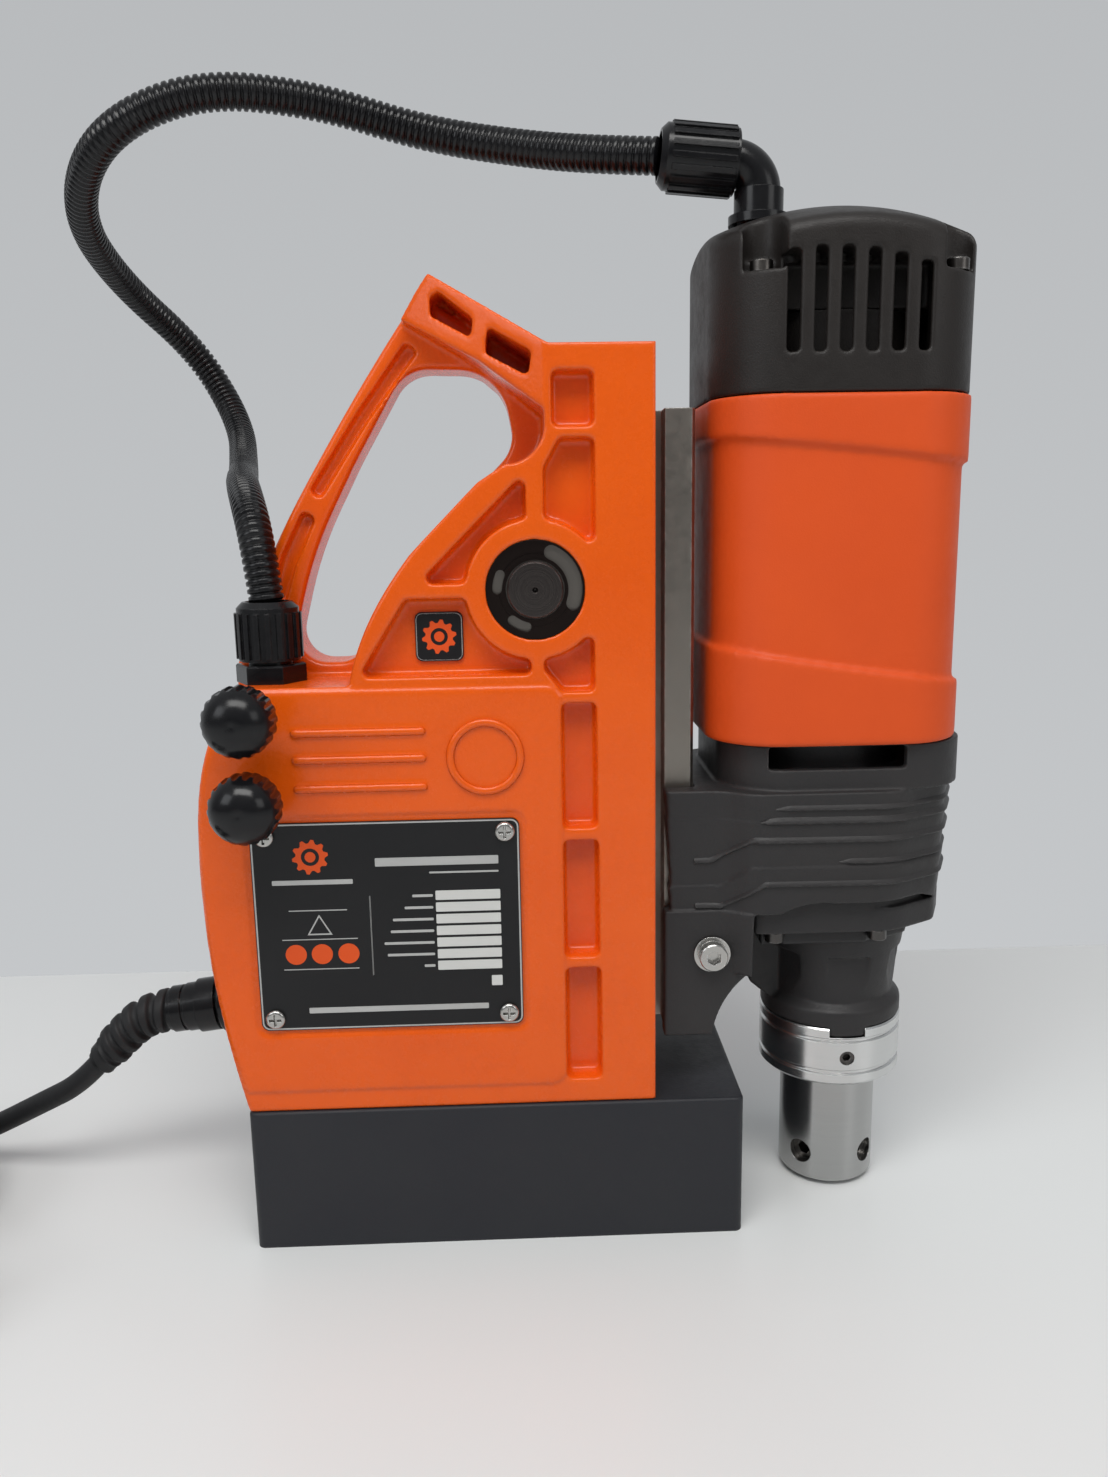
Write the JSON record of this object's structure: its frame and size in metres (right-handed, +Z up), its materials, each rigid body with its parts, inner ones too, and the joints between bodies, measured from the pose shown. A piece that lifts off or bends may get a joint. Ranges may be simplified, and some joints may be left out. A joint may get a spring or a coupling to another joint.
{
  "type": "magnetic drill press",
  "caption": "Magnetic drill press: block magnet base, cast stand with carrying grip, dovetail slide, upright motor over a gearbox and side-lock spindle, conduit and mains cable.",
  "frame": {"origin": "centre of the magnet base's bottom face", "axes": "+Z up, +X from the stand towards the spindle, -Y the side with the rating plate"},
  "size_m": [0.5235, 0.2636, 0.4425],
  "materials": {
    "orange_paint": "gloss orange powder coat over cast aluminium",
    "orange_plastic": "satin orange moulded plastic",
    "base_paint": "satin black paint",
    "grey_cast": "dark grey textured paint over cast aluminium",
    "black_plastic": "textured black plastic",
    "black_nylon": "semi-gloss black nylon",
    "steel": "ground steel",
    "dark_steel": "oiled dark steel",
    "zinc": "bright plated steel",
    "rail_steel": "ground slideway steel",
    "brass": "plain brass",
    "copper": "enamelled copper winding",
    "resin": "potting resin",
    "aluminium": "turned aluminium",
    "rubber": "black rubber",
    "plate": "printed black plate",
    "green_board": "circuit board",
    "red_plastic": "red moulded plastic",
    "green_plastic": "green moulded plastic"
  },
  "bodies": {
    "stand": {"magnet_base": "base_paint", "magnet_coil": "copper", "potting_resin": "resin", "base_bolts": "dark_steel", "body_casting": "orange_paint", "nameplate": "plate", "nameplate_screws": "zinc", "badge": "plate", "feed_bearings": "steel", "hub_retainers": "dark_steel", "gib_strip": "brass", "gib_screws": "dark_steel", "control_cover": "black_plastic", "cover_screws": "zinc", "switch_bezels": "black_nylon", "circuit_board": "green_board", "conduit_gland": "black_nylon", "conduit_gland_nut": "black_nylon", "mains_gland": "black_nylon", "mains_gland_nut": "black_nylon", "strain_relief": "rubber", "mains_cable": "rubber", "mains_cable_coil": "rubber", "mains_plug": "rubber"},
    "carriage": {"slide_rail": "rail_steel", "feed_rack": "steel", "gearbox_housing": "grey_cast", "bracket_bolts": "zinc", "gearbox_cover": "grey_cast", "cover_bolts": "dark_steel", "spindle_nose": "grey_cast", "coolant_collar": "aluminium", "collar_screw": "dark_steel", "spindle_bearings": "steel", "motor_shell": "orange_plastic", "motor_cap": "black_plastic", "air_baffle": "black_plastic", "cap_screws": "dark_steel", "stator": "dark_steel", "brush_carrier": "black_plastic", "motor_bearings": "steel", "conduit_elbow": "black_nylon", "elbow_nut": "black_nylon", "conduit": "black_nylon"},
    "feed": {"feed_shaft": "dark_steel"},
    "armature": {"armature_shaft": "steel", "armature_core": "copper", "cooling_fan": "black_plastic"},
    "reduction": {"layshaft": "steel", "layshaft_gear": "steel"},
    "spindle_unit": {"spindle": "steel", "arbor_screws": "dark_steel", "spindle_gear": "steel"},
    "upper_knob": {"knob_upper": "black_plastic", "knob_upper_stud": "zinc"},
    "lower_knob": {"knob_lower": "black_plastic", "knob_lower_stud": "zinc"},
    "rocker": {"magnet_rocker": "red_plastic"},
    "start": {"start_button": "green_plastic"},
    "stop": {"stop_button": "red_plastic"}
  },
  "joints": [
    {"name": "carriage_slide", "type": "slide", "parent": "stand", "child": "carriage", "axis": [0, 0, 1], "range_m": [0, 0.15], "deforming": ["conduit"]},
    {"name": "feed_turn", "type": "hinge", "parent": "stand", "child": "feed", "pos_m": [0.0183, 0, 0.253], "axis": [0, -1, 0], "range_deg": [0, 573]},
    {"name": "armature_spin", "type": "hinge", "parent": "carriage", "child": "armature", "pos_m": [0.13, 0, 0.25], "axis": [0, 0, 1], "continuous": true},
    {"name": "layshaft_spin", "type": "hinge", "parent": "carriage", "child": "reduction", "pos_m": [0.11144, 0.01181, 0.16], "axis": [0, 0, 1], "continuous": true},
    {"name": "spindle_spin", "type": "hinge", "parent": "carriage", "child": "spindle_unit", "pos_m": [0.1401, 0, 0.06], "axis": [0, 0, 1], "continuous": true},
    {"name": "knob_upper_turn", "type": "hinge", "parent": "stand", "child": "upper_knob", "pos_m": [-0.083, -0.06, 0.2119], "axis": [0, -1, 0], "continuous": true},
    {"name": "knob_lower_turn", "type": "hinge", "parent": "stand", "child": "lower_knob", "pos_m": [-0.083, -0.06, 0.1816], "axis": [0, -1, 0], "continuous": true},
    {"name": "magnet_switch", "type": "hinge", "parent": "stand", "child": "rocker", "pos_m": [-0.014, 0.048, 0.15], "axis": [1, 0, 0], "range_deg": [0, 14]},
    {"name": "start_press", "type": "slide", "parent": "stand", "child": "start", "axis": [0, -1, 0], "range_m": [0, 0.0025], "stiffness_N_per_m": 400, "springref_m": -0.002},
    {"name": "stop_press", "type": "slide", "parent": "stand", "child": "stop", "axis": [0, -1, 0], "range_m": [0, 0.0025], "stiffness_N_per_m": 400, "springref_m": -0.002}
  ],
  "couplings": [
    {"joint": "feed_turn", "follows": "carriage_slide", "rad_per_m": 66.667},
    {"joint": "layshaft_spin", "follows": "armature_spin", "ratio": -0.25},
    {"joint": "spindle_spin", "follows": "armature_spin", "ratio": 0.06}
  ]
}
